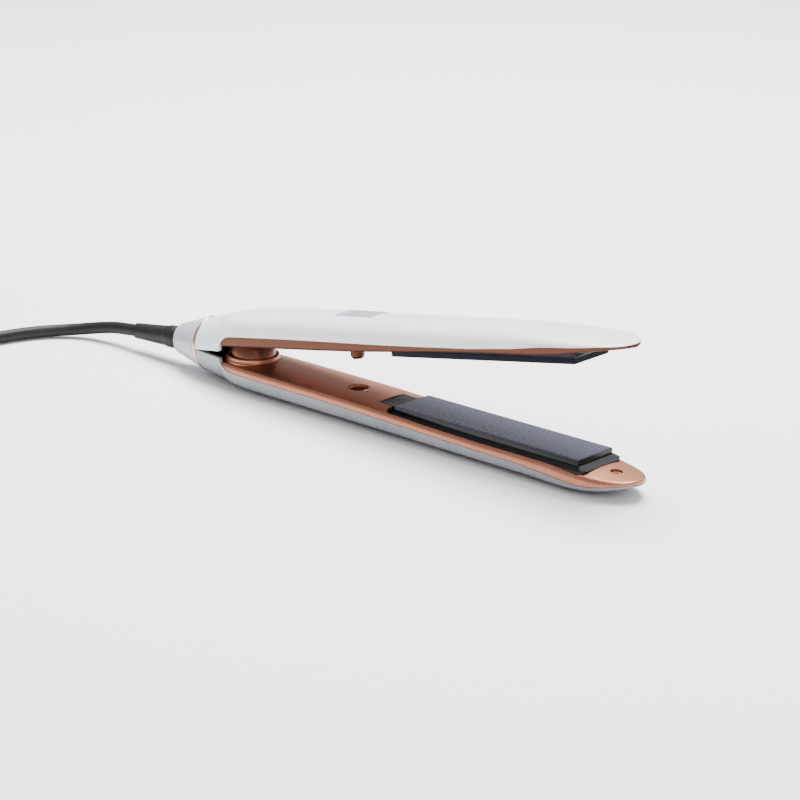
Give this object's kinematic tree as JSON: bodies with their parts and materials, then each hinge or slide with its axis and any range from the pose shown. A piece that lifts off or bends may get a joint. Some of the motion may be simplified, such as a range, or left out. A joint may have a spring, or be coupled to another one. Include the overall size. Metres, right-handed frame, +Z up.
{
  "type": "flat iron",
  "caption": "Hair straightener with two spring-opened arms on a rear hinge, each with a floating heated plate, a display on top, and a swivelling mains cord.",
  "frame": {"origin": "on the resting surface, straight below the hinge axis, midway across the arms", "axes": "+X along the lower arm towards its tip, +Z up from the resting surface, +Y across the arms along the hinge pin"},
  "size_m": [0.5244, 0.0985, 0.072],
  "materials": {
    "white_shell": "satin pearl white",
    "rose_cover": "satin rose-gold metallic paint",
    "rose_post": "satin rose-gold metallic paint",
    "rose_trim": "rose-gold anodised",
    "black_plastic": "satin black",
    "coated_plate": "dark violet-grey ceramic coating",
    "screw_steel": "plain steel",
    "clamp_aluminium": "plain",
    "heater_foil": "polyimide film",
    "silicone": "matte",
    "board_green": "circuit board",
    "ivory_terminal": "plain",
    "black_component": "plain",
    "wire_red": "silicone sleeve",
    "display_glass": "smoked lilac-silver window",
    "black_rubber": "matte",
    "plug_plastic": "moulded"
  },
  "bodies": {
    "lower_arm": {"lower_shell": "white_shell", "lower_cover": "rose_cover", "lower_chassis": "black_plastic", "lower_frame": "black_plastic", "lower_frame_screw": "screw_steel", "lower_float_pads": "silicone", "lower_cover_screw": "screw_steel", "spring_cup": "rose_cover", "hinge_pin": "screw_steel", "mains_board": "board_green", "terminal_block": "ivory_terminal", "lower_leads": "wire_red", "lower_nose_block": "black_plastic", "peg_socket": "rose_cover", "arm_spring": "screw_steel", "cord_lead": "black_rubber", "cord_coil": "black_rubber", "cord_tie": "black_rubber", "plug_body": "plug_plastic", "plug_pins": "screw_steel"},
    "lower_floating_plate": {"lower_plate": "coated_plate", "lower_heater": "heater_foil", "lower_clamp": "clamp_aluminium", "lower_thermistor": "black_component"},
    "upper_arm": {"upper_shell": "white_shell", "upper_cover": "rose_cover", "upper_chassis": "black_plastic", "upper_frame": "black_plastic", "upper_frame_screw": "screw_steel", "upper_float_pads": "silicone", "upper_cover_screw": "screw_steel", "spring_post": "rose_post", "alignment_peg": "rose_post", "control_board": "board_green", "display_module": "black_component", "display_window": "display_glass", "key_board": "board_green", "key_switches": "black_component", "upper_leads": "wire_red", "upper_nose_block": "black_plastic"},
    "upper_floating_plate": {"upper_plate": "coated_plate", "upper_heater": "heater_foil", "upper_clamp": "clamp_aluminium", "thermal_fuse": "screw_steel"},
    "power_key": {"power_key": "rose_cover"},
    "plus_key": {"plus_key": "rose_cover"},
    "minus_key": {"minus_key": "rose_cover"},
    "rear_cap": {"rear_cap": "white_shell", "trim_ring": "rose_trim"},
    "cord_swivel": {"strain_relief": "black_rubber", "swivel_drum": "black_rubber"}
  },
  "joints": [
    {"name": "arm_close", "type": "hinge", "parent": "lower_arm", "child": "upper_arm", "pos_m": [0, 0, 0.0155], "axis": [0, 1, 0], "range_deg": [0, 10.4], "stiffness_Nm_per_rad": 1.5, "springref_deg": -17.19, "deforming": ["arm_spring"]},
    {"name": "cap_follow", "type": "hinge", "parent": "lower_arm", "child": "rear_cap", "pos_m": [0, 0, 0.0155], "axis": [0, 1, 0], "range_deg": [0, 5.2]},
    {"name": "cord_turn", "type": "hinge", "parent": "rear_cap", "child": "cord_swivel", "pos_m": [-0.02988, 0, 0.01278], "axis": [-0.9959, 0, -0.0906], "continuous": true},
    {"name": "lower_plate_float", "type": "slide", "parent": "lower_arm", "child": "lower_floating_plate", "axis": [0, 0, -1], "range_m": [0, 0.0006], "stiffness_N_per_m": 3000, "springref_m": -0.0005, "deforming": ["lower_float_pads"]},
    {"name": "upper_plate_float", "type": "slide", "parent": "upper_arm", "child": "upper_floating_plate", "axis": [-0.1805, 0, 0.9836], "range_m": [0, 0.0006], "stiffness_N_per_m": 3000, "springref_m": -0.0005, "deforming": ["upper_float_pads"]},
    {"name": "power_key_press", "type": "slide", "parent": "upper_arm", "child": "power_key", "axis": [-0.1805, 0, 0.9836], "range_m": [0, 0.0005], "stiffness_N_per_m": 400, "springref_m": -0.001},
    {"name": "plus_key_press", "type": "slide", "parent": "upper_arm", "child": "plus_key", "axis": [-0.1805, 0, 0.9836], "range_m": [0, 0.0005], "stiffness_N_per_m": 400, "springref_m": -0.001},
    {"name": "minus_key_press", "type": "slide", "parent": "upper_arm", "child": "minus_key", "axis": [-0.1805, 0, 0.9836], "range_m": [0, 0.0005], "stiffness_N_per_m": 400, "springref_m": -0.001}
  ],
  "couplings": [
    {"joint": "cap_follow", "follows": "arm_close", "ratio": 0.5}
  ]
}
